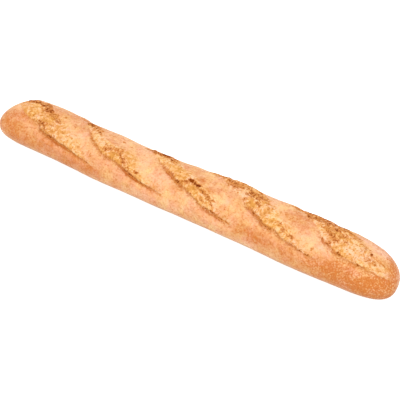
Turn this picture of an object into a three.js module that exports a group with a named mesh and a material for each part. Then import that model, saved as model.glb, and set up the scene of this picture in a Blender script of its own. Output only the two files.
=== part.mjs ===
// A long crusty baguette lying on its flat base, as one solid of bread.
// Millimetres, +Z up, +X along the loaf, +Y to its back. The origin is on the resting
// plane, under the middle of the loaf's bounding box.
//
// A place on the crust is given by x and by its girth: the millimetres from the crest
// round the section, positive to the back, on a section of mean radius GIRTH_RADIUS.
import * as THREE from 'three';

// ---- Plain form ----
const LENGTH = 550;
const WIDTH = 70.6;
const HEIGHT = 46.3;
const WAIST_LEVEL = 20.5; // height of the widest line
const TIP_LEVEL = 17; // height of the two tips
const BELLY_DROP = 25.5; // depth below the waist that the underside would have, uncut
const SECTION_POWER = 2.1; // superellipse exponent of the cross-section
const GIRTH_RADIUS = 31;
// Each end rounds off over its reach, by one superellipse seen from above and one from the side.
const LEFT_END = { reach: 43, planPower: 2.02, sidePower: 2.07 };
const RIGHT_END = { reach: 68, planPower: 2.56, sidePower: 2.45 };

// The middle of the section, in y, and the size of the section, at places along x.
const SPINE = smoothCurve([
  [-275, -6], [-240, 2.6], [-185, 3.4], [-115, 0], [-50, 0.2], [0, 0.8],
  [50, 2.9], [100, 2], [150, 1.4], [205, 1.4], [240, 0.1], [275, -3.9],
]);
const SIZE = smoothCurve([
  [-275, 0.995], [-240, 0.983], [-185, 0.993], [-115, 0.989], [-50, 0.97], [0, 0.984],
  [50, 1.044], [100, 1.011], [150, 1.029], [205, 1], [240, 0.966], [275, 0.974],
]);

// ---- Scores ----
// Each has two edges, as girths along x from its start to its end, and the depth of the
// crease along its front edge, as a share. An ear stands along the back edge up to earEnd,
// over a torn wall that reaches down into the crumb.
const SCORES = [
  {
    front: smoothCurve([
      [-255, 7], [-244, -3], [-234, -8], [-222, -12], [-209, -14], [-203, -20],
      [-190, -23.5], [-170, -26.5], [-150, -29], [-130, -32], [-112, -36],
    ]),
    back: smoothCurve([
      [-255, 7], [-250, 15], [-235, 18], [-220, 18], [-210, 12], [-200, 7.5], [-188, 3],
      [-165, -5], [-147, -12], [-132, -22], [-112, -36],
    ]),
    crease: smoothCurve([
      [-255, 0.3], [-215, 0.35], [-203, 1.1], [-168, 1.1], [-150, 0.8], [-112, 0.3],
    ]),
    span: [-255, -112],
    creaseWidth: 4.5,
    wall: 8,
    ear: 1.3,
    earEnd: -186,
  },
  {
    front: smoothCurve([
      [-160, 21], [-153, 14], [-147, 7], [-138, 1], [-128, -5], [-115, -11.5],
      [-105, -15.5], [-92, -17], [-75, -21], [-55, -26.5], [-38, -30.5], [-12, -34],
    ]),
    back: smoothCurve([
      [-160, 21], [-150, 21], [-136, 18], [-124, 11], [-112, 5], [-98, 2.5], [-80, 1],
      [-68, -4], [-58, -12], [-46, -19], [-32, -25], [-12, -34],
    ]),
    crease: smoothCurve([
      [-160, 0.3], [-136, 0.5], [-118, 0.8], [-100, 0.6], [-85, 0.5], [-70, 1.1],
      [-32, 1.1], [-12, 0.4],
    ]),
    span: [-160, -12],
    creaseWidth: 5,
    wall: 10,
    ear: 1.2,
    earEnd: -122,
  },
  {
    front: smoothCurve([
      [-64, 23], [-52, 14], [-42, 7], [-30, 1], [-18, -3], [-8, -8], [2, -12.5],
      [10, -15], [20, -19.5], [32, -25], [45, -28.5], [62, -31.5], [82, -34],
    ]),
    back: smoothCurve([
      [-64, 23], [-52, 29], [-34, 28], [-15, 16], [0, 9], [14, 3], [24, -3], [34, -8],
      [44, -14], [54, -21], [64, -27], [82, -34],
    ]),
    crease: smoothCurve([
      [-64, 0.2], [-40, 0.4], [-22, 0.8], [4, 0.7], [14, 0.5], [30, 0.5], [40, 0.9],
      [74, 1], [82, 0.4],
    ]),
    span: [-64, 82],
    creaseWidth: 6,
    wall: 16,
    ear: 0.5,
    earEnd: -20,
  },
  {
    front: smoothCurve([
      [30, 24], [38, 18.5], [44, 14], [50, 9], [60, 4.5], [72, 1], [82, -4], [92, -7],
      [102, -11], [112, -16], [120, -18.5], [128, -18], [134, -21], [142, -23.5],
      [155, -25.5], [165, -28], [176, -29], [192, -31],
    ]),
    back: smoothCurve([
      [30, 24], [44, 30.5], [60, 32], [75, 32], [90, 25], [101, 16], [116, 6], [128, -1],
      [140, -7], [152, -13], [165, -20], [178, -25], [192, -31],
    ]),
    crease: smoothCurve([
      [30, 0.2], [80, 0.4], [96, 0.9], [118, 0.8], [142, 0.8], [158, 0.7], [180, 0.7],
      [192, 0.2],
    ]),
    span: [30, 192],
    creaseWidth: 4.5,
    wall: 26,
    ear: 0.2,
    earEnd: 106,
  },
  {
    front: smoothCurve([
      [138, 23], [148, 18], [155, 13], [163, 7], [172, 2], [180, -5], [190, -9],
      [198, -12], [206, -14.5], [215, -15.5], [232, -15], [250, -15.5], [262, -13.5],
      [269, -10],
    ]),
    back: smoothCurve([
      [138, 23], [148, 31], [175, 32], [195, 28], [207, 21], [216, 15], [226, 10.5],
      [236, 7], [246, 3.5], [258, 0], [269, -10],
    ]),
    crease: smoothCurve([
      [138, 0.2], [172, 0.4], [184, 0.7], [212, 0.7], [235, 0.6], [262, 0.5], [269, 0.2],
    ]),
    span: [138, 269],
    creaseWidth: 5,
    wall: 22,
    ear: 0.2,
    earEnd: 214,
  },
];
const VALLEY_DEPTH = 2;
const VALLEY_INNER_SPREAD = 2.4;
const LIP_HEIGHT = 0.9; // of the smooth crust in front of the crease
const LIP_OFFSET = 9;
const LIP_SPREAD = 4.5;
const CRUMB_SWELL = 1.4; // rise of the torn crumb over the plain form
const CRUMB_FRONT = [-0.5, 1.5]; // from the front edge, over which the crumb rises
const CRUMB_BACK = [-9, 2]; // from the back edge, over which it sinks away again
const SCORE_TAPER = 0.4; // power of the way that a score fades out to its ends
const EAR_OUTER_SPREAD = 12;
const EAR_SHARES = [0.3, 0.6, 1.1]; // of the way to earEnd: where it is full, wanes and is gone

// Inner tears: the crumb steps up to the back along each line.
const TEARS = [
  {
    line: smoothCurve([[0, -12], [7, -7], [15, -3.5], [24, -7.5], [35, -11], [45, -17], [55, -25]]),
    span: [0, 55],
    step: 2.2,
  },
  {
    line: smoothCurve([[172, 8], [182, 5], [190, 1.5], [197, -1], [204, 1]]),
    span: [172, 204],
    step: 1.4,
  },
  {
    line: smoothCurve([[-212, -11], [-204, -12], [-198, -14.5], [-193, -19]]),
    span: [-212, -193],
    step: 1.3,
  },
  {
    line: smoothCurve([[-114, -8], [-104, -5], [-94, -2.5], [-84, -7], [-74, -13]]),
    span: [-114, -74],
    step: 0.9,
  },
];
const TEAR_TAPER = 0.6;
const TEAR_BACK_SPREAD = 6;
const TEAR_FACE_SPREAD = 1.2;
const TEAR_FOOT = { offset: 2.5, spread: 2, share: 0.5 };

// ---- Unevenness ----
// Swellings and hollows of the crust: place, reach along and round, height.
const LUMPS = [
  { x: -200, girth: 30, along: 16, round: 16, height: 0.8 },
  { x: -168, girth: 32, along: 8, round: 14, height: 0.8 },
  { x: -150, girth: 30, along: 15, round: 16, height: -1.4 },
  { x: -110, girth: 30, along: 20, round: 16, height: 1.2 },
  { x: -42, girth: 32, along: 18, round: 14, height: -1.2 },
  { x: 2, girth: 31, along: 11, round: 14, height: 1.2 },
  { x: 28, girth: 32, along: 8, round: 14, height: 0.7 },
  { x: 45, girth: 32, along: 12, round: 14, height: -1.6 },
  { x: 132, girth: 30, along: 12, round: 16, height: 0.5 },
  { x: 149, girth: 32, along: 10, round: 14, height: -1.9 },
  { x: 170, girth: 32, along: 8, round: 14, height: -0.9 },
  { x: 187, girth: 32, along: 8, round: 14, height: -1.6 },
  { x: 212, girth: 32, along: 10, round: 14, height: 0.5 },
  { x: 244, girth: 34, along: 26, round: 16, height: 0.9 },
  { x: -163, girth: -60, along: 22, round: 14, height: 0.6 },
  { x: 26, girth: -60, along: 16, round: 14, height: 0.6 },
  { x: 188, girth: -60, along: 20, round: 14, height: 0.6 },
];
// Waves by height, wavelengths along x and round the girth, and phase.
const CRUMB_WAVES = [
  { height: 0.45, along: 17, round: 12, phase: 0.4 },
  { height: 0.35, along: -12.5, round: 9.5, phase: 2.1 },
  { height: 0.25, along: 10.5, round: -15, phase: 4.4 },
];
const CRUST_WAVES = [
  { height: 0.3, along: 173, round: 97, phase: 1.2 },
  { height: 0.2, along: -88, round: 120, phase: 3.5 },
];

const BASE_FADE = [1, 8]; // heights above the base over which all relief comes in

// ---- Mesh ----
const END_STEPS = 10;
const BODY_STEPS = 92;
// Girth steps: fine over the scores, coarse down the sides and under the base.
const SCORED_GIRTH = [-44, 36];
const SCORED_STEPS = 36;
const PLAIN_STEPS = 15;
const SLOPE_STEP = 0.25; // of the finite differences for the normals
const LEAST_RADIUS_SHARE = 1e-4; // keeps the section from vanishing at a tip

const clamp = THREE.MathUtils.clamp;
const smoothstep = THREE.MathUtils.smoothstep;
const bell = (distance, spread) => Math.exp(-((distance / spread) ** 2));
const signedPower = (value, power) => Math.sign(value) * Math.abs(value) ** power;

// The height at x of a smooth curve through the points, which never overshoots them.
function smoothCurve(points) {
  const pieces = points.slice(1).map(([endX, end], i) => {
    const [startX, start] = points[i];
    return { startX, start, step: endX - startX, rise: end - start };
  });
  const slopes = pieces.map(({ rise, step }) => rise / step);
  const tangents = points.map((_, i) => {
    if (i === 0) return slopes[0];
    if (i === slopes.length) return slopes[i - 1];
    const [before, after] = [slopes[i - 1], slopes[i]];
    return before * after > 0 ? (2 * before * after) / (before + after) : 0;
  });
  return (x) => {
    const reached = pieces.findLastIndex((piece) => piece.startX <= x);
    const i = Math.max(reached, 0);
    const { startX, start, step, rise } = pieces[i];
    const t = clamp((x - startX) / step, 0, 1);
    const bend = 3 * rise - step * (2 * tangents[i] + tangents[i + 1]);
    const twist = step * (tangents[i] + tangents[i + 1]) - 2 * rise;
    return start + t * (step * tangents[i] + t * (bend + t * twist));
  };
}

// How much of the full section is left at a distance from a tip: 0 there, 1 past the reach.
function rounding(fromTip, reach, power) {
  const left = clamp(1 - fromTip / reach, 0, 1);
  return (1 - left ** power) ** (1 / power);
}

function endRounding(x, powerName) {
  const left = rounding(x + LENGTH / 2, LEFT_END.reach, LEFT_END[powerName]);
  const right = rounding(LENGTH / 2 - x, RIGHT_END.reach, RIGHT_END[powerName]);
  return Math.max(left * right, LEAST_RADIUS_SHARE);
}

// The plain loaf: a superellipse section cut flat by the resting plane.
function plainPoint(x, girth) {
  const angle = girth / GIRTH_RADIUS;
  const plan = endRounding(x, 'planPower');
  const side = endRounding(x, 'sidePower');
  const size = SIZE(x);
  const level = THREE.MathUtils.lerp(TIP_LEVEL, WAIST_LEVEL, side);
  const rise = (Math.cos(angle) > 0 ? HEIGHT * size - WAIST_LEVEL : BELLY_DROP) * side;
  const reach = (WIDTH / 2) * size * plan;
  const y = SPINE(x) + reach * signedPower(Math.sin(angle), 2 / SECTION_POWER);
  const z = level + rise * signedPower(Math.cos(angle), 2 / SECTION_POWER);
  return new THREE.Vector3(x, y, Math.max(z, 0));
}

function plainNormal(x, girth) {
  const inner = clamp(x, -LENGTH / 2 + 2 * SLOPE_STEP, LENGTH / 2 - 2 * SLOPE_STEP);
  const along = plainPoint(inner + SLOPE_STEP, girth).sub(plainPoint(inner - SLOPE_STEP, girth));
  const round = plainPoint(inner, girth + SLOPE_STEP).sub(plainPoint(inner, girth - SLOPE_STEP));
  return along.cross(round).normalize();
}

function waves(list, x, girth) {
  return list.reduce(
    (sum, w) =>
      sum + w.height * Math.sin(2 * Math.PI * (x / w.along + girth / w.round) + w.phase),
    0,
  );
}

// The relief of one score: crease, lip, swollen crumb and ear.
function scoreRelief(score, x, girth) {
  const share = clamp((x - score.span[0]) / (score.span[1] - score.span[0]), 0, 1);
  if (share === 0 || share === 1) return 0;
  const taper = Math.sin(Math.PI * share) ** SCORE_TAPER;
  const across = girth - score.front(x);
  const past = girth - score.back(x);
  const inside = smoothstep(across, ...CRUMB_FRONT) * (1 - smoothstep(past, ...CRUMB_BACK));
  const toEarEnd = (x - score.span[0]) / (score.earEnd - score.span[0]);
  const [full, waning, gone] = EAR_SHARES;
  const ear = smoothstep(toEarEnd, 0, full) * (1 - smoothstep(toEarEnd, waning, gone));
  const climb = across > 0 ? smoothstep(past, -score.wall, 0) : 0;
  const depth = taper * score.crease(x);
  return (
    LIP_HEIGHT * depth * bell(across + LIP_OFFSET, LIP_SPREAD) -
    VALLEY_DEPTH * depth * bell(across, across > 0 ? VALLEY_INNER_SPREAD : score.creaseWidth) +
    inside * taper * (CRUMB_SWELL + waves(CRUMB_WAVES, x, girth)) +
    score.ear * ear * (past > 0 ? bell(past, EAR_OUTER_SPREAD) : climb)
  );
}

// A tear's rim falls off gently behind it and steeply in front, to a shallow foot.
function tearRelief(tear, x, girth) {
  const share = clamp((x - tear.span[0]) / (tear.span[1] - tear.span[0]), 0, 1);
  const across = girth - tear.line(x);
  const taper = Math.sin(Math.PI * share) ** TEAR_TAPER;
  const rim = bell(across, across > 0 ? TEAR_BACK_SPREAD : TEAR_FACE_SPREAD);
  const foot = TEAR_FOOT.share * bell(across + TEAR_FOOT.offset, TEAR_FOOT.spread);
  return taper * tear.step * (rim - foot);
}

function lumpRelief(lump, x, girth) {
  return lump.height * bell(x - lump.x, lump.along) * bell(girth - lump.girth, lump.round);
}

// Girths run once round; past the middle of the underside they count down to the front.
function relief(x, girth) {
  const half = Math.PI * GIRTH_RADIUS;
  const signed = girth > half ? girth - 2 * half : girth;
  const sum = (list, part) => list.reduce((total, item) => total + part(item, x, signed), 0);
  return (
    sum(SCORES, scoreRelief) +
    sum(TEARS, tearRelief) +
    sum(LUMPS, lumpRelief) +
    waves(CRUST_WAVES, x, signed)
  );
}

// The relief fades out over the tips and towards the base, which stays flat.
function crustPoint(x, girth) {
  const point = plainPoint(x, girth);
  const fade = smoothstep(point.z, ...BASE_FADE) * endRounding(x, 'sidePower');
  return point.addScaledVector(plainNormal(x, girth), relief(x, girth) * fade);
}

// Stations along x, closer together where the ends round off. The tips are left out.
function stations() {
  const list = [];
  const turn = (i) => 1 - Math.cos((Math.PI / 2) * (i / END_STEPS));
  for (let i = 1; i <= END_STEPS; i++) list.push(-LENGTH / 2 + LEFT_END.reach * turn(i));
  const body = LENGTH - LEFT_END.reach - RIGHT_END.reach;
  for (let i = 1; i < BODY_STEPS; i++)
    list.push(-LENGTH / 2 + LEFT_END.reach + (body * i) / BODY_STEPS);
  for (let i = END_STEPS; i >= 1; i--) list.push(LENGTH / 2 - RIGHT_END.reach * turn(i));
  return list;
}

function girths() {
  const [front, back] = SCORED_GIRTH;
  const whole = 2 * Math.PI * GIRTH_RADIUS;
  const plain = whole - (back - front);
  const list = [];
  for (let i = 0; i < SCORED_STEPS; i++) list.push(front + ((back - front) * i) / SCORED_STEPS);
  for (let i = 0; i < PLAIN_STEPS; i++) list.push(back + (plain * i) / PLAIN_STEPS);
  return list;
}

// A skin of rings from tip to tip, closed by a fan at each tip. The quads are split along
// the way that the scores run.
function loafGeometry() {
  const xs = stations();
  const gs = girths();
  const tip = (x) => new THREE.Vector3(x, SPINE(x), TIP_LEVEL);
  const points = [tip(-LENGTH / 2), tip(LENGTH / 2)];
  xs.forEach((x) => gs.forEach((girth) => points.push(crustPoint(x, girth))));
  const at = (ring, i) => 2 + ring * gs.length + (i % gs.length);
  const faces = [];
  gs.forEach((_, i) => {
    faces.push(0, at(0, i), at(0, i + 1));
    faces.push(1, at(xs.length - 1, i + 1), at(xs.length - 1, i));
  });
  for (let ring = 0; ring + 1 < xs.length; ring++) {
    gs.forEach((_, i) => {
      faces.push(at(ring, i), at(ring + 1, i), at(ring, i + 1));
      faces.push(at(ring, i + 1), at(ring + 1, i), at(ring + 1, i + 1));
    });
  }
  const geometry = new THREE.BufferGeometry().setFromPoints(points);
  geometry.setIndex(faces);
  geometry.computeBoundingBox();
  const middle = geometry.boundingBox.getCenter(new THREE.Vector3());
  geometry.translate(-middle.x, -middle.y, -geometry.boundingBox.min.z);
  geometry.computeVertexNormals();
  return geometry;
}

const crust = new THREE.MeshStandardMaterial({ color: 0xe3a066, roughness: 0.8, metalness: 0 });
const loaf = new THREE.Mesh(loafGeometry(), crust);
loaf.name = 'loaf';

const baguette = new THREE.Group();
baguette.name = 'baguette';
baguette.add(loaf);

export default baguette;
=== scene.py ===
"""The looks of a long scored baguette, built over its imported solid.

A place on the crust is given, in millimetres, by x along the loaf and by its girth: the way
round the section from the crest, positive to the back, on a mean radius of GIRTH_RADIUS.
The mesh carries masks of what is torn, browned, toasted and so on, as point attributes that
the crust's material follows.
"""

import math

import bpy
import numpy as np
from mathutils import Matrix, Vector, noise


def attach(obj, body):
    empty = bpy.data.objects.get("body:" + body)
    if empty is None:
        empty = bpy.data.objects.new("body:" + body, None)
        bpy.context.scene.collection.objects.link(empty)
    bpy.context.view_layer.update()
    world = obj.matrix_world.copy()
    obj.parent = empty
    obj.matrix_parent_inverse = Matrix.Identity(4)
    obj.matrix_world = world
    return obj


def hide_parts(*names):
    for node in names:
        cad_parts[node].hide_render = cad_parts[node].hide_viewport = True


MM = 0.001

# ---- Plain form, as in the solid, in mm ----
LENGTH = 550
WIDTH = 70.6
HEIGHT = 46.3
WAIST_LEVEL = 20.5  # height of the widest line
TIP_LEVEL = 17  # height of the two tips
BELLY_DROP = 25.5  # depth below the waist that the underside would have, uncut
SECTION_POWER = 2.1  # superellipse exponent of the cross-section
GIRTH_RADIUS = 31
# Each end rounds off over its reach, by one superellipse seen from above and one from the side.
LEFT_END = {"reach": 43, "plan_power": 2.02, "side_power": 2.07}
RIGHT_END = {"reach": 68, "plan_power": 2.56, "side_power": 2.45}

# The middle of the section, in y, and the size of the section, at places along x.
SPINE = [
    (-275, -6), (-240, 2.6), (-185, 3.4), (-115, 0), (-50, 0.2), (0, 0.8),
    (50, 2.9), (100, 2), (150, 1.4), (205, 1.4), (240, 0.1), (275, -3.9),
]
SIZE = [
    (-275, 0.995), (-240, 0.983), (-185, 0.993), (-115, 0.989), (-50, 0.97), (0, 0.984),
    (50, 1.044), (100, 1.011), (150, 1.029), (205, 1), (240, 0.966), (275, 0.974),
]

# ---- Scores ----
# Each has two edges, as (x, girth) from its start to its end, and the depth of the crease
# along its front edge, as (x, share). An ear stands along the back edge up to ear_end, over
# a torn wall that reaches down into the crumb. The wall is scorched by the burn, and the
# crease darkened by the stain, which is partly a baked stain and partly painted shade of the groove.
SCORES = [
    {
        "front": [
            (-255, 7), (-244, -3), (-234, -8), (-222, -12), (-209, -14), (-203, -20),
            (-190, -23.5), (-170, -26.5), (-150, -29), (-130, -32), (-112, -36),
        ],
        "back": [
            (-255, 7), (-250, 15), (-235, 18), (-220, 18), (-210, 12), (-200, 7.5), (-188, 3),
            (-165, -5), (-147, -12), (-132, -22), (-112, -36),
        ],
        "crease": [(-255, 0.3), (-215, 0.35), (-203, 1.1), (-168, 1.1), (-150, 0.8), (-112, 0.3)],
        "crease_width": 4.5,
        "wall": 8,
        "burn": 0.92,
        "stain_and_shade": 1.0,
        "ear": 1.3,
        "ear_end": -186,
    },
    {
        "front": [
            (-160, 21), (-153, 14), (-147, 7), (-138, 1), (-128, -5), (-115, -11.5), (-105, -15.5),
            (-92, -17), (-75, -21), (-55, -26.5), (-38, -30.5), (-12, -34),
        ],
        "back": [
            (-160, 21), (-150, 21), (-136, 18), (-124, 11), (-112, 5), (-98, 2.5), (-80, 1),
            (-68, -4), (-58, -12), (-46, -19), (-32, -25), (-12, -34),
        ],
        "crease": [
            (-160, 0.3), (-136, 0.5), (-118, 0.8), (-100, 0.6), (-85, 0.5), (-70, 1.1),
            (-32, 1.1), (-12, 0.4),
        ],
        "crease_width": 5,
        "wall": 10,
        "burn": 0.55,
        "stain_and_shade": 0.9,
        "ear": 1.2,
        "ear_end": -122,
    },
    {
        "front": [
            (-64, 23), (-52, 14), (-42, 7), (-30, 1), (-18, -3), (-8, -8), (2, -12.5), (10, -15),
            (20, -19.5), (32, -25), (45, -28.5), (62, -31.5), (82, -34),
        ],
        "back": [
            (-64, 23), (-52, 29), (-34, 28), (-15, 16), (0, 9), (14, 3), (24, -3), (34, -8),
            (44, -14), (54, -21), (64, -27), (82, -34),
        ],
        "crease": [
            (-64, 0.2), (-40, 0.4), (-22, 0.8), (4, 0.7), (14, 0.5), (30, 0.5), (40, 0.9),
            (74, 1), (82, 0.4),
        ],
        "crease_width": 6,
        "wall": 16,
        "burn": 0.85,
        "stain_and_shade": 1.0,
        "ear": 0.5,
        "ear_end": -20,
    },
    {
        "front": [
            (30, 24), (38, 18.5), (44, 14), (50, 9), (60, 4.5), (72, 1), (82, -4), (92, -7),
            (102, -11), (112, -16), (120, -18.5), (128, -18), (134, -21), (142, -23.5),
            (155, -25.5), (165, -28), (176, -29), (192, -31),
        ],
        "back": [
            (30, 24), (44, 30.5), (60, 32), (75, 32), (90, 25), (101, 16), (116, 6), (128, -1),
            (140, -7), (152, -13), (165, -20), (178, -25), (192, -31),
        ],
        "crease": [
            (30, 0.2), (80, 0.4), (96, 0.9), (118, 0.8), (142, 0.8), (158, 0.7), (180, 0.7),
            (192, 0.2),
        ],
        "crease_width": 4.5,
        "wall": 26,
        "burn": 0.46,
        "stain_and_shade": 0.85,
        "ear": 0.2,
        "ear_end": 106,
    },
    {
        "front": [
            (138, 23), (148, 18), (155, 13), (163, 7), (172, 2), (180, -5), (190, -9), (198, -12),
            (206, -14.5), (215, -15.5), (232, -15), (250, -15.5), (262, -13.5), (269, -10),
        ],
        "back": [
            (138, 23), (148, 31), (175, 32), (195, 28), (207, 21), (216, 15), (226, 10.5),
            (236, 7), (246, 3.5), (258, 0), (269, -10),
        ],
        "crease": [(138, 0.2), (172, 0.4), (184, 0.7), (212, 0.7), (235, 0.6), (262, 0.5), (269, 0.2)],
        "crease_width": 5,
        "wall": 22,
        "burn": 0.7,
        "stain_and_shade": 0.7,
        "ear": 0.2,
        "ear_end": 214,
    },
]
VALLEY_DEPTH = 2.0
VALLEY_INNER_SPREAD = 2.4
LIP_HEIGHT = 0.9  # of the smooth crust in front of the crease
LIP_OFFSET = 9
LIP_SPREAD = 4.5
CRUMB_SWELL = 1.4  # rise of the torn crumb over the plain form
CRUMB_FRONT = (-0.5, 1.5)  # from the front edge, over which the crumb begins
CRUMB_BACK = (-9, 2)  # from the back edge, over which its rise sinks away again
SCORE_TAPER = 0.4  # power of the way that a score fades out to its ends
EAR_OUTER_SPREAD = 12
# Shares of the way to ear_end: where an ear, and the scorch on its wall, is full, wanes and is gone.
EAR_SHARES = (0.3, 0.6, 1.1)
SCORCH_SHARES = (0.12, 0.75, 1.15)
SCORCH_FOOT = 0.75  # share of the wall's reach from which up the scorch is full
SCORCH_TOP = (0, 2)  # from the back edge, over which it ends
# The crumb's look fades out between two distances from the back edge. Each goes from its
# first value to its second over these shares of the score's length.
CRUMB_FADES = ((-4, -9), (2, 16))
CRUMB_FADE_SHARES = (0.35, 0.7)
# The crumb is soft in a score's later part and towards its back edge.
SOFT_SHARES = (0.45, 0.8)
SOFT_BACK = (-5, 4)
SOFTENING = 0.35
# The darkening of a crease, partly a baked stain and partly painted shade of its groove: a
# wide halo, a core, and a thin toasted seam that paints the shade at the groove's bottom.
STAIN_AND_SHADE_HALO = {"amount": 0.42, "inner_spread": 2, "outer_spread": 4.8}
STAIN_AND_SHADE_CORE = {"amount": 0.6, "offset": 0.6, "spread": 2.2}
# The seam: partly toast, partly painted shade along the groove's bottom.
SEAM_SHADE = {"offset": -0.3, "spread": 1.3}

# Swellings and hollows of the crust: x, girth, reach along and round, height.
LUMPS = [
    (-200, 30, 16, 16, 0.8), (-168, 32, 8, 14, 0.8), (-150, 30, 15, 16, -1.4),
    (-110, 30, 20, 16, 1.2), (-42, 32, 18, 14, -1.2), (2, 31, 11, 14, 1.2),
    (28, 32, 8, 14, 0.7), (45, 32, 12, 14, -1.6), (132, 30, 12, 16, 0.5),
    (149, 32, 10, 14, -1.9), (170, 32, 8, 14, -0.9), (187, 32, 8, 14, -1.6),
    (212, 32, 10, 14, 0.5), (244, 34, 26, 16, 0.9), (-163, -60, 22, 14, 0.6),
    (26, -60, 16, 14, 0.6), (188, -60, 20, 14, 0.6),
]

# Waves of the crust: height, wavelengths along x and round the girth, phase.
CRUST_WAVES = [(0.3, 173, 97, 1.2), (0.2, -88, 120, 3.5)]

# Inner tears: the crumb steps up to the back along each line.
TEARS = [
    {
        "line": [(0, -12), (7, -7), (15, -3.5), (24, -7.5), (35, -11), (45, -17), (55, -25)],
        "step": 2.2,
    },
    {"line": [(172, 8), (182, 5), (190, 1.5), (197, -1), (204, 1)], "step": 1.4},
    {"line": [(-212, -11), (-204, -12), (-198, -14.5), (-193, -19)], "step": 1.3},
    {"line": [(-114, -8), (-104, -5), (-94, -2.5), (-84, -7), (-74, -13)], "step": 0.9},
]
TEAR_TAPER = 0.6
TEAR_BACK_SPREAD = 6
TEAR_FACE_SPREAD = 1.2
TEAR_FOOT = {"offset": 2.5, "spread": 2.0, "share": 0.5}
TEAR_EDGE = {"offset": 0.8, "spread": 2.2, "toast": 0.75}
TEAR_RAGGEDNESS = 0.4

# Toasted spots: x, girth, reach along and round, amount.
SPOTS = [
    (-230, 14, 16, 3.5, 0.3), (-222, 10, 4, 3, 0.7), (-221, -9, 2, 2, 0.4),
    (-214, 6, 4, 3, 1.2), (-207, 4, 4, 3, 1.1), (-203, -12.5, 3.5, 2, 0.9),
    (-199, 3, 3, 2, 0.35), (-197, -16, 4, 2, 0.8), (-186, -3, 4, 3, 0.3),
    (-183, 7.5, 2.2, 1.6, 0.6), (-163, 22, 6, 3, 0.6), (-148, 16, 7, 2.5, 0.5),
    (-141, 8, 4, 2, 0.5), (-129, 9, 4, 3, 0.4), (-125, -33.5, 3, 2, 0.9),
    (-121, -22, 1.5, 2.5, 0.6), (-107, -22, 1.6, 1.6, 0.25), (-107, -9, 4, 2, 0.7),
    (-97, -4, 5, 3, 0.6), (-96, 12.5, 2.2, 1.8, 0.8), (-89, -3, 3, 3, 0.6),
    (-82, 9.5, 2, 1.6, 0.6), (-77, -14, 3, 2, 0.9), (-69, -18, 2.5, 1.5, 0.8),
    (-66, 21, 5, 2.5, 0.7), (-58, 22, 5, 2.5, 0.4), (-57, -19, 3, 2, 1), (-41, 20, 8, 4, 0.5),
    (-18, -33, 3, 1.5, 0.6), (-3, -9.5, 5, 1.6, 0.9), (5, -6.5, 4, 1.8, 1.1),
    (12.5, -3.8, 3.4, 1.5, 2.3), (18, -5.2, 2.5, 1.4, 1.5), (19, -17, 2, 2, 0.6),
    (24, -7, 3.6, 1.6, 2.3), (31, 22, 8, 4.5, 0.75), (34, -11, 6, 1.8, 1),
    (37, -21, 5, 1.5, 0.6), (38, -9, 5, 2.5, 0.35), (44, -16.5, 5, 1.8, 0.8),
    (50, 15, 4, 3, 0.4), (51, -27.8, 5, 1.2, 0.9), (58, 15.5, 3.5, 2, 0.8), (60, 9, 8, 3, 0.55),
    (68, -31.5, 7, 1.2, 0.9), (69, 12.5, 3, 2, 0.8), (76, 18, 5, 4, 0.5),
    (79, 6.5, 3, 1.8, 0.5), (80, 0, 3.5, 2.5, 0.45), (80, 25, 8, 4, 0.35),
    (82, 11, 3, 2.5, 0.8), (94, 10, 3, 2, 0.7), (95, 2, 3, 1.8, 0.6), (103, 12, 4, 2, 0.35),
    (107, 5, 3, 1.6, 0.35), (124, -18, 5, 1.5, 0.4), (130, -9, 4, 2, 0.6),
    (137, 23, 8, 4.5, 0.8), (138, -14, 4, 2, 0.5), (148, -17, 5, 1.8, 0.7),
    (159, 14, 5, 4, 0.55), (166, -27, 2.5, 1.5, 0.8), (168, 16, 8, 4, 0.45),
    (174, -28.5, 2.5, 1.5, 0.8), (177, -20, 1.5, 2, 0.6), (184, 8, 6, 2.5, 0.7),
    (190, -7, 2.5, 1.8, 0.9), (191, 10, 3, 2.5, 0.8), (198, 0, 9, 5, 0.15), (199, 4, 3, 3, 0.5),
    (204, -12, 3, 1.8, 0.5), (217, 15, 4, 3, 0.4), (228, 5, 2, 6, 0.3), (232, 8, 2, 1.8, 0.6),
    (237, 3, 2.2, 1.8, 1.1), (240, -5, 14, 5, 0.22), (252, 1, 9, 1.2, 0.5),
]
SPOT_DEPTH = 0.5
SPOT_RAGGEDNESS = 0.12

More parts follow.
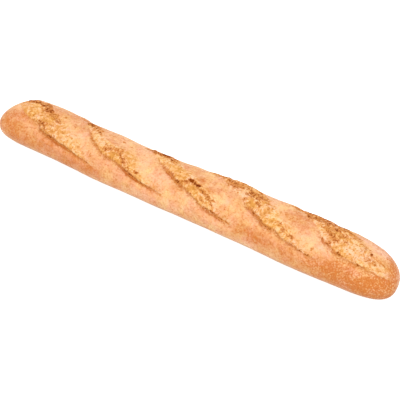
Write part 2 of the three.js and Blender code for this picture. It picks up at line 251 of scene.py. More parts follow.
# How brown the smooth crust is: a level, and patches that add to it or take from it, each
# by x, girth, reach along and round, and amount.
BROWNING_LEVEL = 0.3
BROWNING_UNEVENNESS = 0.25
BROWNING = [
    (-262, -42, 10, 10, -0.3), (-262, -20, 18, 30, 0.25), (-262, 4, 12, 12, 0.15),
    (-255, -34, 110, 22, 0.5), (-252, 2, 8, 9, -0.3), (-240, -10, 8, 5, 0.4),
    (-230, 26, 18, 8, -0.25), (-225, -18, 30, 6, -0.25), (-205, -24, 26, 6, -0.15),
    (-185, 14, 26, 8, 0.2), (-168, -46, 20, 10, -0.2), (-150, -48, 60, 12, 0.36),
    (-140, -29, 12, 6, 0.3), (-140, -14, 20, 14, -0.25), (-100, -40, 10, 7, 0.3),
    (-60, 4, 30, 12, -0.1), (-50, -46, 120, 14, 0.05), (-50, -9, 15, 8, -0.3),
    (-50, 34, 20, 8, -0.25), (-40, -46, 14, 8, -0.35), (-29, -28, 17, 7, 0.55),
    (-25, -24, 34, 13, -0.25), (0, -44, 14, 8, -0.3), (2, -17, 9, 4, 0.4),
    (8, -34, 22, 8, 0.12), (10, 28, 40, 10, -0.15), (22, 1, 8, 4, 0.5), (30, -48, 60, 8, 0.1),
    (40, -7, 8, 4, 0.6), (50, -4, 34, 12, -0.1), (56, -44, 16, 8, -0.4),
    (58, -13, 12, 7, -0.28), (58, 1, 9, 4, 0.25), (98, -30, 12, 7, 0.5),
    (106, -50, 18, 7, -0.4), (118, -40, 34, 11, 0.35), (118, 8, 9, 7, -0.5),
    (132, -44, 20, 10, -0.2), (146, 4, 18, 9, 0.6), (175, -14, 20, 10, -0.3),
    (178, -15, 11, 8, -0.4), (190, 32, 16, 8, -0.3), (200, -36, 20, 9, 0.25),
    (205, -42, 60, 22, 0.5), (240, -21, 13, 7, -0.55), (240, 14, 30, 9, -0.4),
    (257, -30, 13, 9, 0.4), (262, 13, 8, 10, 0.45), (262, 24, 12, 12, 0.2),
    (275, -32, 40, 46, 0.95), (280, 70, 24, 34, 0.4),
]

# How golden the crumb is, in the same way.
GILDING_LEVEL = 0.42
GILDING = [
    (-210, 0, 20, 8, 0.15), (-181, 0, 8, 5, 0.35), (-160, -16, 24, 8, -0.1),
    (-85, -10, 26, 8, 0.15), (-80, 0, 8, 5, 0.4), (-70, 4, 20, 6, 0.1), (-10, 2, 16, 8, 0.1),
    (28, -15, 24, 9, 0.4), (62, 14, 22, 9, 0.2), (118, -2, 8, 6, -0.3), (150, -15, 12, 5, 0.35),
    (190, 6, 16, 7, 0.35), (204, 4, 14, 7, 0.25), (220, 2, 10, 6, -0.45),
    (232, -8, 22, 7, -0.05), (240, -6, 24, 8, -0.05),
]

# How much more or less the creases are darkened, partly by a baked stain and partly by
# painted shade of their grooves, in the same way.
STAIN_AND_SHADE_PATCHES = [
    (-175, -28, 30, 7, 0.15), (-132, -2, 14, 7, 0.45), (-118, -12, 10, 6, -0.1),
    (-52, -30, 20, 7, 0.45), (-14, -8, 20, 8, 0.1), (24, -21, 13, 7, -0.55),
    (56, -31, 20, 5, -0.15), (66, 3, 15, 9, -0.4), (104, -12, 14, 5, 0.2), (176, 2, 9, 7, -0.5),
    (190, -8, 8, 4, 0.1),
]

# The base's colour, a darker baked underside and painted shade along the bottom edge, is full
# up to the first height and gone at the second.
BASE_HEIGHTS = (5, 18)
BASE_RAGGEDNESS = 1.5

# How pink the smooth crust is flushed, in the same way.
FLUSHES = [
    (-150, 34, 40, 14, 0.3), (-138, -8, 14, 6, 0.3), (-98, -16, 18, 5, 0.3),
    (-60, 26, 60, 10, 0.3), (182, -15, 12, 6, 0.35), (238, -6, 22, 6, 0.2),
    (248, 20, 29, 11, 1.15),
]

# How thickly light blisters speckle the smooth crust, in the same way.
BLISTERS = [
    (-264, -20, 26, 40, 0.45), (190, -36, 40, 20, 0.3), (270, -30, 50, 50, 1),
]

# Noises over the crust: wavelength in mm, octaves, stretch along x, and offset.
FIELDS = {
    "wander": (12, 2, 1, 3.1),
    "ragged": (7, 3, 1, 7.7),
    "crags": (5.2, 3, 1.4, 1.3),
    "veins": (4.2, 2, 1, 2.7),
    "ridges": (6, 2, 1.4, 5.9),
    "ripples": (9, 2, 1, 9.4),
    "slow": (18, 2, 1, 4.4),
    "wide": (45, 2, 1, 6.6),
}
# Each octave of a noise is this many times finer than the one before, and weaker by this
# power of that.
LACUNARITY = 2.0
FRACTAL_INCREMENT = 1.0
WANDER = 0.9  # of a score's front edge, in mm
RAGGEDNESS = 2.5  # of its back edge
VEIN_SHARPNESS = 2.4
RIDGE_SHARPNESS = 2
CRAG_HEIGHT = 0.8
RIDGE_HEIGHT = 0.4
WALL_RIDGE_HEIGHT = 0.5  # more on the walls
RIPPLE_HEIGHT = 0.12
BASE_FADE = (1, 8)  # heights above the base over which all relief comes in

# What each look is made of, besides its patches: a level, and shares of the fields.
GOLD_RECIPE = {"crags": -0.7, "slow": 0.3, "soft": -0.15}
# Crease stain: partly baked colour, partly painted shade of the groove.
STAIN_AND_SHADE_RECIPE = {"level": 0.9, "slow": 0.5, "crags": 0.35}
WALL_TOAST_RECIPE = {"level": 0.4, "vein_cores": 1.1, "slow": 0.3}
# Toast of a crease's seam: partly toast, partly painted shade at the bottom of the groove.
SEAM_TOAST_AND_SHADE_RECIPE = {"level": 0.5, "veins": 0.5, "slow": 0.4}
SPOT_TOAST_RECIPE = {"level": 0.9, "veins": 0.5}
CRUMB_TOAST_RECIPE = {"level": -0.2, "crags": 0.8, "slow": 0.28}
MOST_CRUMB_TOAST = 0.4
MOST_TOAST = 2.5

# ---- Mesh ----
END_STEPS = 44
BODY_STEPS = 422
# Girth steps: fine over the scores, coarse down the sides and under the base.
SCORED_GIRTH = (-44, 36)
SCORED_STEPS = 144
PLAIN_STEPS = 44
SLOPE_STEP = 0.25  # of the finite differences for the normals
LEAST_RADIUS_SHARE = 1e-4  # keeps the section from vanishing at a tip


# ---- Curves and patches ----


def smoothstep(value, low, high):
    share = np.clip((value - low) / (high - low), 0, 1)
    return share * share * (3 - 2 * share)


def bell(distance, spread):
    return np.exp(-((distance / spread) ** 2))


def patches(places, x, girth):
    """The sum of smooth round patches at each place."""
    whole = 2 * np.pi * GIRTH_RADIUS
    total = 0
    for patch_x, patch_girth, along, around, amount in places:
        turn = np.abs(girth - patch_girth)
        nearest = np.minimum(turn, whole - turn)
        total = total + amount * bell(x - patch_x, along) * bell(nearest, around)
    return total


def signed_power(value, power):
    return np.sign(value) * np.abs(value) ** power


def smooth_curve(points, x):
    """The height at x of a smooth curve through the points, which never overshoots them."""
    xs, ys = np.array(points, float).T
    steps = np.diff(xs)
    slopes = np.diff(ys) / steps
    turns = slopes[1:] * slopes[:-1] <= 0
    inner = 2 * slopes[1:] * slopes[:-1] / np.where(turns, 1, slopes[1:] + slopes[:-1])
    tangents = np.concatenate([slopes[:1], np.where(turns, 0, inner), slopes[-1:]])
    x = np.clip(x, xs[0], xs[-1])
    i = np.clip(np.searchsorted(xs, x, side="right") - 1, 0, len(steps) - 1)
    t = (x - xs[i]) / steps[i]
    rise = ys[i + 1] - ys[i]
    bend = 3 * rise - steps[i] * (2 * tangents[i] + tangents[i + 1])
    twist = steps[i] * (tangents[i] + tangents[i + 1]) - 2 * rise
    return ys[i] + t * (steps[i] * tangents[i] + t * (bend + t * twist))


# ---- Plain loaf ----


def rounding(from_tip, reach, power):
    """How much of the full section is left: 0 at the tip, 1 past the reach."""
    left = np.clip(1 - from_tip / reach, 0, 1)
    return (1 - left**power) ** (1 / power)


def end_rounding(x, power_name):
    left = rounding(x + LENGTH / 2, LEFT_END["reach"], LEFT_END[power_name])
    right = rounding(LENGTH / 2 - x, RIGHT_END["reach"], RIGHT_END[power_name])
    return np.maximum(left * right, LEAST_RADIUS_SHARE)


def plain_points(x, girth):
    """The plain loaf: a superellipse section cut flat by the resting plane."""
    angle = girth / GIRTH_RADIUS
    plan = end_rounding(x, "plan_power")
    side = end_rounding(x, "side_power")
    size = smooth_curve(SIZE, x)
    level = TIP_LEVEL + (WAIST_LEVEL - TIP_LEVEL) * side
    rise = np.where(np.cos(angle) > 0, HEIGHT * size - WAIST_LEVEL, BELLY_DROP) * side
    reach = WIDTH / 2 * size * plan
    y = smooth_curve(SPINE, x) + reach * signed_power(np.sin(angle), 2 / SECTION_POWER)
    z = level + rise * signed_power(np.cos(angle), 2 / SECTION_POWER)
    return np.stack(np.broadcast_arrays(x, y, np.maximum(z, 0)), axis=-1)


def plain_normals(x, girth):
    """The outward normals of the plain loaf, by finite differences."""
    limit = LENGTH / 2 - 2 * SLOPE_STEP
    inner = np.clip(x, -limit, limit)
    along = plain_points(inner + SLOPE_STEP, girth) - plain_points(inner - SLOPE_STEP, girth)
    across = plain_points(inner, girth + SLOPE_STEP) - plain_points(inner, girth - SLOPE_STEP)
    normals = np.cross(along, across)
    return normals / np.linalg.norm(normals, axis=-1, keepdims=True)


def stations():
    """Places along x, closer together where the ends round off. The tips are left out."""
    turn = 1 - np.cos(np.pi / 2 * np.arange(1, END_STEPS + 1) / END_STEPS)
    left = -LENGTH / 2 + LEFT_END["reach"] * turn
    right = LENGTH / 2 - RIGHT_END["reach"] * turn[::-1]
    body = np.linspace(left[-1], right[0], BODY_STEPS + 1)[1:-1]
    return np.concatenate([left, body, right])


def girths():
    """Girths once round; past the middle of the underside they go on counting up."""
    front, back = SCORED_GIRTH
    whole = 2 * np.pi * GIRTH_RADIUS
    scored = np.linspace(front, back, SCORED_STEPS, endpoint=False)
    plain = np.linspace(back, front + whole, PLAIN_STEPS, endpoint=False)
    return np.concatenate([scored, plain])


# ---- Unevenness ----


def noise_field(points, wavelength, octaves, stretch, offset):
    """Perlin noise, about -1 to 1, at points in mm; the stretch makes it longer along x."""
    places = points / (wavelength * np.array([stretch, 1, 1])) + offset
    values = [
        noise.fractal(Vector(place), FRACTAL_INCREMENT, LACUNARITY, octaves)
        for place in places.reshape(-1, 3)
    ]
    return np.array(values).reshape(points.shape[:-1])


def uneven_fields(plain):
    """All the noises over the plain loaf; veins and ridges are 1 along their middles."""
    fields = {name: noise_field(plain, *settings) for name, settings in FIELDS.items()}
    fields["wander"] *= WANDER
    fields["ragged"] *= RAGGEDNESS
    fields["veins"] = 1 - VEIN_SHARPNESS * np.abs(fields["veins"])
    fields["vein_cores"] = np.clip(fields["veins"], 0, 1) ** 2
    fields["ridges"] = 1 - RIDGE_SHARPNESS * np.abs(fields["ridges"])
    return fields


def blend(recipe, fields):
    """The recipe's level, with its share of each field."""
    shares = {name: share for name, share in recipe.items() if name != "level"}
    return recipe.get("level", 0) + sum(share * fields[name] for name, share in shares.items())


def wax_and_wane(way, full, waning, gone):
    """Rises from 0 at the start of the way, and falls back to 0 where it is gone."""
    return smoothstep(way, 0, full) * (1 - smoothstep(way, waning, gone))


def score_parts(score, x, girth, wander, ragged):
    """The relief of one score, and the masks of all that is torn or scorched by it, and of its
    crease's stain and painted shade.
    """
    start, end = score["front"][0][0], score["front"][-1][0]
    share = np.clip((x - start) / (end - start), 0, 1)
    taper = np.sin(np.pi * share) ** SCORE_TAPER
    across = girth - smooth_curve(score["front"], x) + wander
    past = girth - smooth_curve(score["back"], x) + ragged
    behind = across > 0
    to_ear_end = (x - start) / (score["ear_end"] - start)
    ear = wax_and_wane(to_ear_end, *EAR_SHARES)
    scorch = wax_and_wane(to_ear_end, *SCORCH_SHARES)
    crumb = smoothstep(across, *CRUMB_FRONT)
    inside = crumb * (1 - smoothstep(past, *CRUMB_BACK))
    later = smoothstep(share, *CRUMB_FADE_SHARES)
    fade_start, fade_end = [early + (late - early) * later for early, late in CRUMB_FADES]
    wall = score["wall"]
    climb = smoothstep(past, -wall, 0) * behind
    scorched_wall = smoothstep(past, -wall, -SCORCH_FOOT * wall) * behind
    depth = taper * smooth_curve(score["crease"], x)
    valley = bell(across, np.where(behind, VALLEY_INNER_SPREAD, score["crease_width"]))
    # Halo and core: the crease's darkening, partly stain and partly painted shade of the groove.
    stain_and_shade_halo = bell(across, np.where(behind, STAIN_AND_SHADE_HALO["inner_spread"], STAIN_AND_SHADE_HALO["outer_spread"]))
    stain_and_shade_core = bell(across + STAIN_AND_SHADE_CORE["offset"], STAIN_AND_SHADE_CORE["spread"])
    lip = depth * bell(across + LIP_OFFSET, LIP_SPREAD)
    parts = {
        "relief": (
            LIP_HEIGHT * lip
            + CRUMB_SWELL * taper * inside
            - VALLEY_DEPTH * depth * valley
            + score["ear"] * ear * np.where(past > 0, bell(past, EAR_OUTER_SPREAD), climb)
        ),
        "crumb": crumb * (1 - smoothstep(past, fade_start, fade_end)),
        "soft": smoothstep(share, *SOFT_SHARES) + smoothstep(past, *SOFT_BACK),
        "stain_and_shade": score["stain_and_shade"] * depth * (STAIN_AND_SHADE_HALO["amount"] * stain_and_shade_halo + STAIN_AND_SHADE_CORE["amount"] * stain_and_shade_core),
        # The seam: toast along the crease's bottom, partly painted shade there.
        "seam_and_shade": depth * bell(across + SEAM_SHADE["offset"], SEAM_SHADE["spread"]),
        "wall": score["burn"] * scorch * scorched_wall * (1 - smoothstep(past, *SCORCH_TOP)),
        "lip": lip,
    }
    open_here = (share > 0) & (share < 1)
    return {name: np.where(open_here, part, 0) for name, part in parts.items()}


def tear_parts(tear, x, girth, wander):
    """The relief of one tear, and the mask of its toasted edge."""
    start, end = tear["line"][0][0], tear["line"][-1][0]
    share = np.clip((x - start) / (end - start), 0, 1)
    taper = np.sin(np.pi * share) ** TEAR_TAPER
    across = girth - smooth_curve(tear["line"], x) + wander
    rim = bell(across, np.where(across > 0, TEAR_BACK_SPREAD, TEAR_FACE_SPREAD))
    foot = TEAR_FOOT["share"] * bell(across + TEAR_FOOT["offset"], TEAR_FOOT["spread"])
    edge = TEAR_EDGE["toast"] * bell(across + TEAR_EDGE["offset"], TEAR_EDGE["spread"])
    return taper * tear["step"] * (rim - foot), taper * edge


def spot_part(spot, x, girth, ragged):
    """How toasted one spot is, with a ragged outline."""
    spot_x, spot_girth, along, around, amount = spot
    reach = np.hypot((x - spot_x) / along, (girth - spot_girth) / around)
    return amount * bell(np.maximum(reach + SPOT_RAGGEDNESS * ragged, 0), 1)


def torn_parts(x, girth, fields):
    """The relief of all scores, tears and toasted spots together, and their masks."""
    wander, ragged = fields["wander"], fields["ragged"]
    scores = [score_parts(score, x, girth, wander, ragged) for score in SCORES]
    relief = np.sum([parts.pop("relief") for parts in scores], axis=0)
    masks = {name: np.max([parts[name] for parts in scores], axis=0) for name in scores[0]}
    masks["crumb"] *= 1 - SOFTENING * np.clip(masks["soft"], 0, 1)
    burnt = np.zeros(relief.shape)
    for tear in TEARS:
        step, edge = tear_parts(tear, x, girth, wander + TEAR_RAGGEDNESS * ragged)
        relief += step
        burnt = np.maximum(burnt, edge)
    for place in SPOTS:
        spot = spot_part(place, x, girth, ragged)
        relief -= SPOT_DEPTH * spot
        burnt = np.maximum(burnt, spot)
    return relief, {**masks, "burnt": burnt}


def crust_relief(x, girth, fields, masks):
    """The relief of the crags, ridges, ripples, waves and lumps."""
    torn = np.clip(masks["crumb"] + masks["wall"], 0, 1)
    relief = torn * (CRAG_HEIGHT * fields["crags"] + RIDGE_HEIGHT * fields["ridges"])
    relief += WALL_RIDGE_HEIGHT * masks["wall"] * fields["ridges"]
    relief += RIPPLE_HEIGHT * fields["ripples"]
    for height, along, around, phase in CRUST_WAVES:
        relief += height * np.sin(2 * np.pi * (x / along + girth / around) + phase)
    return relief + patches(LUMPS, x, girth)


def look_masks(x, girth, plain, fields, masks):
    """The masks that the material reads, by name."""
    # The crease stain and seam toast below are partly painted shade of the grooves.
    stain_and_shading = patches(STAIN_AND_SHADE_PATCHES, x, girth)
    height = plain[..., 2]
    brown = BROWNING_LEVEL + patches(BROWNING, x, girth) + BROWNING_UNEVENNESS * fields["wide"]
    # Toast along the creases' seams is partly painted shade at the bottom of their grooves.
    seam_toast_and_shade = np.clip(blend(SEAM_TOAST_AND_SHADE_RECIPE, fields) + stain_and_shading, 0, 1)
    crumb_toast = np.clip(blend(CRUMB_TOAST_RECIPE, fields), 0, MOST_CRUMB_TOAST)
    toast = (
        masks["wall"] * blend(WALL_TOAST_RECIPE, fields)
        + masks["seam_and_shade"] * seam_toast_and_shade
        + masks["burnt"] * blend(SPOT_TOAST_RECIPE, fields)
        + masks["crumb"] * crumb_toast
    )
    gold = GILDING_LEVEL + patches(GILDING, x, girth)
    return {
        "lip": masks["lip"],
        "crumb": masks["crumb"],
        "gold": gold + blend(GOLD_RECIPE, {**fields, "soft": masks["soft"]}),
        "stain_and_shade": masks["stain_and_shade"] * (blend(STAIN_AND_SHADE_RECIPE, fields) + stain_and_shading),
        "toast": np.clip(toast, 0, MOST_TOAST),
        "brown": np.clip(brown, 0, 1),
        # Darker towards the bottom: a baked underside, and painted shade along the bottom edge.
        "base_and_shade": 1 - smoothstep(height + BASE_RAGGEDNESS * fields["slow"], *BASE_HEIGHTS),
        "flush": patches(FLUSHES, x, girth),
        "blister": patches(BLISTERS, x, girth) * (1 - masks["crumb"]),
    }


def crust():
    """The points of the crust as rings, with the masks of its looks."""
    x = stations()[:, None]
    girth = girths()[None, :]
    plain = plain_points(x, girth)
    half = np.pi * GIRTH_RADIUS
    girth = np.where(girth > half, girth - 2 * half, girth)
    fields = uneven_fields(plain)
    relief, masks = torn_parts(x, girth, fields)
    relief += crust_relief(x, girth, fields, masks)
    relief *= smoothstep(plain[..., 2], *BASE_FADE) * end_rounding(x, "side_power")
    points = plain + plain_normals(x, girth) * relief[..., None]
    return points, look_masks(x, girth, plain, fields, masks)


# ---- Mesh of the loaf ----


def loaf_mesh():
    """A skin of rings from tip to tip, closed by a fan at each tip, centred in plan."""
    points, masks = crust()
    rings, around = points.shape[:2]
    tips = [[x, smooth_curve(SPINE, x), TIP_LEVEL] for x in (-LENGTH / 2, LENGTH / 2)]
    vertices = np.concatenate([points.reshape(-1, 3), tips])
    middle = (vertices.min(axis=0) + vertices.max(axis=0)) / 2
    middle[2] = 0
    vertices = (vertices - middle) * MM
    ring, i = np.meshgrid(np.arange(rings - 1), np.arange(around), indexing="ij")
    after = (i + 1) % around
    this_ring, next_ring = ring * around, (ring + 1) * around
    corners = [this_ring + i, next_ring + i, next_ring + after, this_ring + after]
    quads = np.stack(corners, axis=-1).reshape(-1, 4)
    left_tip, right_tip = rings * around, rings * around + 1
    last = (rings - 1) * around
    fans = [(left_tip, j, (j + 1) % around) for j in range(around)]
    fans += [(right_tip, last + (j + 1) % around, last + j) for j in range(around)]
    mesh = bpy.data.meshes.new("baguette_loaf")
    mesh.from_pydata(vertices.tolist(), [], quads.tolist() + fans)
    mesh.shade_smooth()
    for name, mask in masks.items():
        values = np.concatenate([np.broadcast_to(mask, points.shape[:2]).ravel(), [0, 0]])
        attribute = mesh.attributes.new(name, "FLOAT", "POINT")
        attribute.data.foreach_set("value", values.astype(np.float32))
    return mesh


# ---- Materials ----
# Each colour is given as it shows on the loaf under this scene's light.

LIGHT_LEVEL = 1.45
PALE_CRUST = (248, 200, 148)
ROSY_CRUST = (248, 186, 142)
BROWN_CRUST = (212, 125, 62)
FLUSHED_CRUST = (250, 199, 174)
# Partly the baked underside, partly painted shade along the bottom edge.
BASE_CRUST_AND_SHADE = (198, 152, 118)
CREAM_CRUMB = (247, 202, 157)
BUTTER_CRUMB = (241, 181, 120)
GOLDEN_CRUMB = (221, 153, 79)
# Partly a baked stain, partly painted shade in a crease's groove.
CREASE_STAIN_AND_SHADE = (190, 105, 43)
TOASTED = (217, 141, 76)
BURNT = (142, 64, 4)
# Factors on the colours above: dark grains, partly painted shade of fine crags, and wide soft
# patches of two tints.
GRAIN_AND_CRAG_SHADE = (0.68, 0.48, 0.28, 1.0)
YELLOW_TINT = (1.0, 1.008, 0.86, 1.0)
PINK_TINT = (1.0, 0.98, 1.05, 1.0)

# Noises of the crust's material: scale per metre, detail and roughness.
NOISES = {
    "broad": (55.0, 3.0, 0.5),
    "middling": (150.0, 3.0, 0.6),
    "fine": (420.0, 3.0, 0.65),
    "crisp": (330.0, 3.0, 0.7),
    "tight": (560.0, 2.0, 0.6),
    "specks": (380.0, 2.0, 0.7),
    "rosy": (90.0, 2.0, 0.5),
    # Noise of the dark grains, which are partly painted shade of fine crags.
    "grain_shade": (300.0, 2.0, 0.6),
    "tints": (60.0, 4.0, 0.65),
}
STREAKS = {"squeeze": (1.0, 0.3, 0.3), "noise": (420.0, 3.0, 0.6)}
THREADS = {"wander_scale": 160.0, "wander": 0.008, "noise": (170.0, 2.0, 0.6), "width": 0.055}
FLECKS = {"scale": 240.0, "reach": (0.24, 0.1), "broad": (0.48, 0.6, 0.1, 0.8)}

# How unevenly each mask is followed, by noise.
UNEVENNESS = {
    "brown": {"broad": 0.7, "middling": 0.95, "fine": 1.2},
    "flush": {"middling": 1.2},
    "gold": {"middling": 2.1, "streaks": 1.0, "fine": 0.6, "threads": 0.9},
    "crumb": {"fine": 1.2},
    "stain_and_shade": {"crisp": 1.8},
    "toast": {"streaks": 1.8, "crisp": 2.3, "threads": 0.8},
}
# The strengths of a mask over which its look comes in, so that it stays off bare crust.
MASK_EDGES = {"flush": (0.0, 0.3), "stain_and_shade": (0.0, 0.2), "toast": (0.05, 0.3)}

# Values over which each colour takes over from the one before it. Where a span has two more
# values, they are what it goes from and to.
BUTTER_SPAN = (0.0, 0.5)
GOLDEN_SPAN = (0.45, 1.0)
CRUMB_SPAN = (0.2, 0.8)
STAIN_AND_SHADE_SPAN = (0.0, 0.9)
TOASTED_SPAN = (0.15, 0.75)
BURNT_SPAN = (0.9, 1.7)
SPECK_SPAN = (0.55, 0.66)
SPECK_BROWNING = 0.4
ROSY_SPAN = (0.45, 0.6, 0.1, 0.8)
BLISTER_SPAN = (0.56, 0.66)
BLISTER_SHARE = 0.42
BLISTER_PALING = -4.0  # change of the browning by the noise that makes the blisters
# Where the dark grains come in, partly painted shade of fine crags.
GRAIN_SHADE_SPAN = (0.54, 0.63)
GRAIN_SHADE_BY_TOAST = 2.5
GRAIN_SHADE_SHARES = (0.0, 2.5, 0.16, 1.2)  # from smooth crust to toasted crumb
TINT_SPAN = (0.36, 0.64)

ROUGHNESS = 0.7
SPECULAR_LEVEL = 0.04
SHEEN_ROUGHNESS = 0.35
SHEEN_TINT = (1.0, 0.93, 0.88, 1.0)
SHEEN_LOSS_BY_TOAST = 2.0
SHEEN_SPAN = (0.0, 0.8, 0.32, 0.0)  # from smooth crust, which is floury, to torn
BUMP_HEIGHT = 0.001

# The colour sockets of a Mix node, by their places among those of all its data types.
MIX_FIRST, MIX_SECOND, MIX_RESULT = 6, 7, 2

FLOOR_GREY = (0.45, 0.45, 0.45, 1.0)
FLOOR_ROUGHNESS = 0.9
FLOOR_GLOW = 0.88


def bread(shown):
    """A colour given as it shows on the lit loaf, 0 to 255, in the linear values of a shader."""
    values = np.array(shown) / 255
    linear = np.where(values <= 0.04045, values / 12.92, ((values + 0.055) / 1.055) ** 2.4)
    return (*(linear / LIGHT_LEVEL).tolist(), 1.0)


class Shader:
    """A material's node tree, with a short call for each kind of node that it uses."""

    def __init__(self, name):
        self.material = bpy.data.materials.new(name)
        self.material.use_nodes = True
        self.nodes = self.material.node_tree.nodes
        self.links = self.material.node_tree.links
        self.surface = self.nodes["Principled BSDF"]

    def feed(self, socket, value):
        if isinstance(value, bpy.types.NodeSocket):
            self.links.new(value, socket)
        else:
            socket.default_value = value

    def place(self):
        return self.nodes.new("ShaderNodeTexCoord").outputs["Object"]

    def mask(self, name):
        """A mask of the mesh."""
        node = self.nodes.new("ShaderNodeAttribute")
        node.attribute_name = name
        return node.outputs["Fac"]

    def noise(self, place, scale, detail, roughness):
        node = self.nodes.new("ShaderNodeTexNoise")
        self.feed(node.inputs["Vector"], place)
        self.feed(node.inputs["Scale"], scale)
        self.feed(node.inputs["Detail"], detail)
        self.feed(node.inputs["Roughness"], roughness)
        return node.outputs["Fac"]

    def cells(self, place, scale):
        """The distance to the nearest of many scattered dots, in cells."""
        node = self.nodes.new("ShaderNodeTexVoronoi")
        self.feed(node.inputs["Vector"], place)
        self.feed(node.inputs["Scale"], scale)
        return node.outputs["Distance"]

    def threads(self, pattern, width):
        """One along the lines where a noise has its middle value, and zero beside them."""
        return self.span(self.math("ABSOLUTE", self.around_middle(pattern)), width, 0.0)

    def warp(self, place, scale, amount):
        """The place, moved by a noise, so that patterns laid on it wander."""
        drift = self.nodes.new("ShaderNodeTexNoise")
        self.feed(drift.inputs["Vector"], place)
        self.feed(drift.inputs["Scale"], scale)
        node = self.nodes.new("ShaderNodeVectorMath")
        node.operation = "MULTIPLY_ADD"
        self.feed(node.inputs[0], drift.outputs["Color"])
        self.feed(node.inputs[1], (amount, amount, amount))
        self.feed(node.inputs[2], place)
        return node.outputs["Vector"]

    def squeeze(self, place, factors):
        """The place, squeezed by a factor per axis, so that patterns on it are longer there."""
        node = self.nodes.new("ShaderNodeVectorMath")
        node.operation = "MULTIPLY"
        self.feed(node.inputs[0], place)
        self.feed(node.inputs[1], factors)
        return node.outputs["Vector"]

    def math(self, operation, first, second=0.0, third=0.0):
        node = self.nodes.new("ShaderNodeMath")
        node.operation = operation
        self.feed(node.inputs[0], first)
        self.feed(node.inputs[1], second)
        self.feed(node.inputs[2], third)
        return node.outputs[0]

    def times(self, first, second):
        return self.math("MULTIPLY", first, second)

    def plus_times(self, value, first, second):
        """The value, plus the first times the second."""
        return self.math("MULTIPLY_ADD", first, second, value)

    def around_middle(self, pattern):
        """A noise of 0 to 1, moved so that its middle is 0."""
        return self.math("SUBTRACT", pattern, 0.5)

    def span(self, value, low, high, to_low=0.0, to_high=1.0):
        """The value's place between low and high, smoothly, from to_low to to_high."""
        node = self.nodes.new("ShaderNodeMapRange")
        node.interpolation_type = "SMOOTHSTEP"
        self.feed(node.inputs["Value"], value)
        self.feed(node.inputs["From Min"], low)
        self.feed(node.inputs["From Max"], high)
        self.feed(node.inputs["To Min"], to_low)
        self.feed(node.inputs["To Max"], to_high)
        return node.outputs["Result"]

    def mix(self, share, first, second, blend_type="MIX"):
        node = self.nodes.new("ShaderNodeMix")
        node.data_type = "RGBA"
        node.blend_type = blend_type
        self.feed(node.inputs[0], share)
        self.feed(node.inputs[MIX_FIRST], first)
        self.feed(node.inputs[MIX_SECOND], second)
        return node.outputs[MIX_RESULT]

    def darken(self, share, colour, factor):
        """The colour, multiplied channel by channel by the factor where the share is one."""
        return self.mix(share, colour, factor, "MULTIPLY")

    def bump(self, height, distance):
        node = self.nodes.new("ShaderNodeBump")
        self.feed(node.inputs["Height"], height)
        self.feed(node.inputs["Distance"], distance)
        self.feed(self.surface.inputs["Normal"], node.outputs["Normal"])


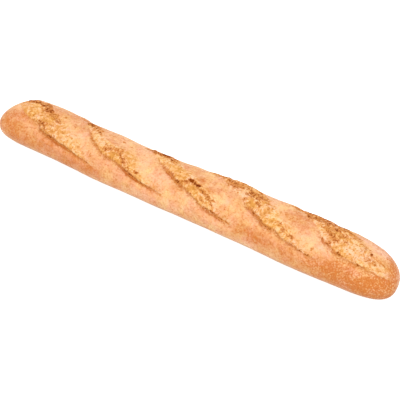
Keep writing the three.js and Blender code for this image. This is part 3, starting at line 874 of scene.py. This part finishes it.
class CrustShader(Shader):
    """The crust's material: smooth skin, torn crumb over it, then stain, toast and grain; the crease
    stain, the seams' toast and the grain are partly painted shade.
    """

    def __init__(self, name):
        super().__init__(name)
        place = self.place()
        self.patterns = {key: self.noise(place, *settings) for key, settings in NOISES.items()}
        streaked = self.squeeze(place, STREAKS["squeeze"])
        self.patterns["streaks"] = self.noise(streaked, *STREAKS["noise"])
        wandering = self.warp(place, THREADS["wander_scale"], THREADS["wander"])
        winding = self.noise(wandering, *THREADS["noise"])
        self.patterns["threads"] = self.threads(winding, THREADS["width"])
        self.patterns["flecks"] = self.span(self.cells(place, FLECKS["scale"]), *FLECKS["reach"])

    def uneven(self, name):
        """A mask, followed unevenly. Threads only add to it; the noises also take away."""
        value = self.mask(name)
        for key, amount in UNEVENNESS[name].items():
            pattern = self.patterns[key]
            if key != "threads":
                pattern = self.around_middle(pattern)
            value = self.plus_times(value, pattern, amount)
        if name in MASK_EDGES:
            value = self.times(value, self.span(self.mask(name), *MASK_EDGES[name]))
        return value

    def smooth_skin(self):
        """Pale, rosy or flushed crust under its browning, with light blisters."""
        blisters = self.mask("blister")
        grainy = self.times(self.around_middle(self.patterns["tight"]), blisters)
        brown = self.plus_times(self.uneven("brown"), grainy, BLISTER_PALING)
        specks = self.span(self.patterns["specks"], *SPECK_SPAN)
        brown = self.plus_times(self.math("MAXIMUM", brown, 0.0), specks, SPECK_BROWNING)
        rosy = self.math("ADD", self.span(self.patterns["rosy"], *ROSY_SPAN), self.mask("lip"))
        pale = self.mix(rosy, bread(PALE_CRUST), bread(ROSY_CRUST))
        pale = self.mix(self.uneven("flush"), pale, bread(FLUSHED_CRUST))
        skin = self.mix(brown, pale, bread(BROWN_CRUST))
        blister = self.times(self.span(self.patterns["tight"], *BLISTER_SPAN), blisters)
        return self.mix(self.times(blister, BLISTER_SHARE), skin, bread(PALE_CRUST))

    def torn_over(self, skin):
        """The crumb, from cream to gold, with toasted flecks."""
        gold = self.uneven("gold")
        crumb = self.mix(self.span(gold, *BUTTER_SPAN), bread(CREAM_CRUMB), bread(BUTTER_CRUMB))
        crumb = self.mix(self.span(gold, *GOLDEN_SPAN), crumb, bread(GOLDEN_CRUMB))
        skin = self.mix(self.span(self.uneven("crumb"), *CRUMB_SPAN), skin, crumb)
        where = self.span(self.patterns["broad"], *FLECKS["broad"])
        flecks = self.times(self.times(self.patterns["flecks"], where), self.mask("crumb"))
        return self.mix(flecks, skin, bread(TOASTED))

    def toasted_over(self, skin):
        """The stain of the creases and the toast of their seams, both partly painted shade of the
        grooves, and the toast of edges, walls and spots.
        """
        skin = self.mix(self.span(self.uneven("stain_and_shade"), *STAIN_AND_SHADE_SPAN), skin, bread(CREASE_STAIN_AND_SHADE))
        toast = self.uneven("toast")
        skin = self.mix(self.span(toast, *TOASTED_SPAN), skin, bread(TOASTED))
        return self.mix(self.span(toast, *BURNT_SPAN), skin, bread(BURNT))

    def grained_and_shaded(self, skin):
        """Dark grains, partly painted shade of fine crags, most where the crumb is toasted, and soft
        tints over all.
        """
        torn = self.plus_times(self.mask("crumb"), self.mask("toast"), GRAIN_SHADE_BY_TOAST)
        grain_shade = self.span(self.patterns["grain_shade"], *GRAIN_SHADE_SPAN)
        skin = self.darken(self.times(grain_shade, self.span(torn, *GRAIN_SHADE_SHARES)), skin, GRAIN_AND_CRAG_SHADE)
        tint = self.span(self.patterns["tints"], *TINT_SPAN)
        return self.darken(1.0, skin, self.mix(tint, YELLOW_TINT, PINK_TINT))


def crust_material():
    shader = CrustShader("baked_crust")
    skin = shader.toasted_over(shader.torn_over(shader.smooth_skin()))
    # Darker towards the bottom: baked underside and painted shade along the bottom edge.
    skin = shader.mix(shader.mask("base_and_shade"), shader.grained_and_shaded(skin), bread(BASE_CRUST_AND_SHADE))
    torn = shader.plus_times(shader.mask("crumb"), shader.mask("toast"), SHEEN_LOSS_BY_TOAST)
    surface = shader.surface.inputs
    shader.feed(surface["Base Color"], skin)
    shader.feed(surface["Roughness"], ROUGHNESS)
    shader.feed(surface["Specular IOR Level"], SPECULAR_LEVEL)
    shader.feed(surface["Sheen Weight"], shader.span(torn, *SHEEN_SPAN))
    shader.feed(surface["Sheen Roughness"], SHEEN_ROUGHNESS)
    shader.feed(surface["Sheen Tint"], SHEEN_TINT)
    relief = shader.math("ADD", shader.patterns["fine"], shader.patterns["middling"])
    shader.bump(relief, BUMP_HEIGHT)
    return shader.material


def floor_material():
    """White in the picture: its glow fills up what the lights leave short."""
    shader = Shader("pale_floor")
    surface = shader.surface.inputs
    shader.feed(surface["Base Color"], FLOOR_GREY)
    shader.feed(surface["Roughness"], FLOOR_ROUGHNESS)
    shader.feed(surface["Specular IOR Level"], 0.0)
    shader.feed(surface["Emission Color"], (1.0, 1.0, 1.0, 1.0))
    shader.feed(surface["Emission Strength"], FLOOR_GLOW)
    return shader.material


# ---- Scene ----

CAMERA_AZIMUTH = 30.4
CAMERA_ELEVATION = 48
CAMERA_DISTANCE = 1.0
CAMERA_TARGET = Vector((0.02135, -0.0024, 0.016))
CAMERA_LENS = 74.57
SENSOR_WIDTH = 36
# Azimuth and elevation in degrees, distance and size in metres, power in watts.
KEY_LIGHT = {"azimuth": 20, "elevation": 75, "distance": 2.0, "size": 1.2, "power": 34.0}
WORLD_STRENGTH = 1.0
FLOOR_HALF_WIDTH = 6.0


def direction(azimuth, elevation):
    """The way to a viewpoint: azimuth 0 is the front, towards -Y, and 90 is +X."""
    azimuth, elevation = math.radians(azimuth), math.radians(elevation)
    level = math.cos(elevation)
    return Vector((math.sin(azimuth) * level, -math.cos(azimuth) * level, math.sin(elevation)))


def add_camera():
    data = bpy.data.cameras.new("camera")
    data.lens = CAMERA_LENS
    data.sensor_width = SENSOR_WIDTH
    camera = bpy.data.objects.new("camera", data)
    bpy.context.scene.collection.objects.link(camera)
    back = direction(CAMERA_AZIMUTH, CAMERA_ELEVATION)
    camera.location = CAMERA_TARGET + CAMERA_DISTANCE * back
    camera.rotation_euler = back.to_track_quat("Z", "Y").to_euler()
    bpy.context.scene.camera = camera


def add_light(name, azimuth, elevation, distance, size, power):
    data = bpy.data.lights.new(name, "AREA")
    data.shape = "DISK"
    data.size = size
    data.energy = power
    light = bpy.data.objects.new(name, data)
    bpy.context.scene.collection.objects.link(light)
    back = direction(azimuth, elevation)
    light.location = distance * back
    light.rotation_euler = back.to_track_quat("Z", "Y").to_euler()


def add_world():
    world = bpy.data.worlds.new("studio")
    world.use_nodes = True
    background = world.node_tree.nodes["Background"]
    background.inputs["Color"].default_value = (1, 1, 1, 1)
    background.inputs["Strength"].default_value = WORLD_STRENGTH
    bpy.context.scene.world = world


def add_floor():
    mesh = bpy.data.meshes.new("floor")
    half = FLOOR_HALF_WIDTH
    corners = [(-half, -half, 0), (half, -half, 0), (half, half, 0), (-half, half, 0)]
    mesh.from_pydata(corners, [], [(0, 1, 2, 3)])
    mesh.materials.append(floor_material())
    floor = bpy.data.objects.new("floor", mesh)
    bpy.context.scene.collection.objects.link(floor)


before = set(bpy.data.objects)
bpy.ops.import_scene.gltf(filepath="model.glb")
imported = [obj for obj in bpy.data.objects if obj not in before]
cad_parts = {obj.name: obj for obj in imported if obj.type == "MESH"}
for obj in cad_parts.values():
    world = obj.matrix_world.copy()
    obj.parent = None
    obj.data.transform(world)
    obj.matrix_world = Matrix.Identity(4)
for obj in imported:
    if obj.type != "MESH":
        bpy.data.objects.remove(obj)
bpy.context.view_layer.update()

bpy.context.scene.view_settings.view_transform = "Standard"
add_camera()
add_world()
add_light("key", **KEY_LIGHT)
add_floor()

loaf = bpy.data.objects.new("baguette_loaf", loaf_mesh())
bpy.context.scene.collection.objects.link(loaf)
loaf.data.materials.append(crust_material())
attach(loaf, "root")
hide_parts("loaf")
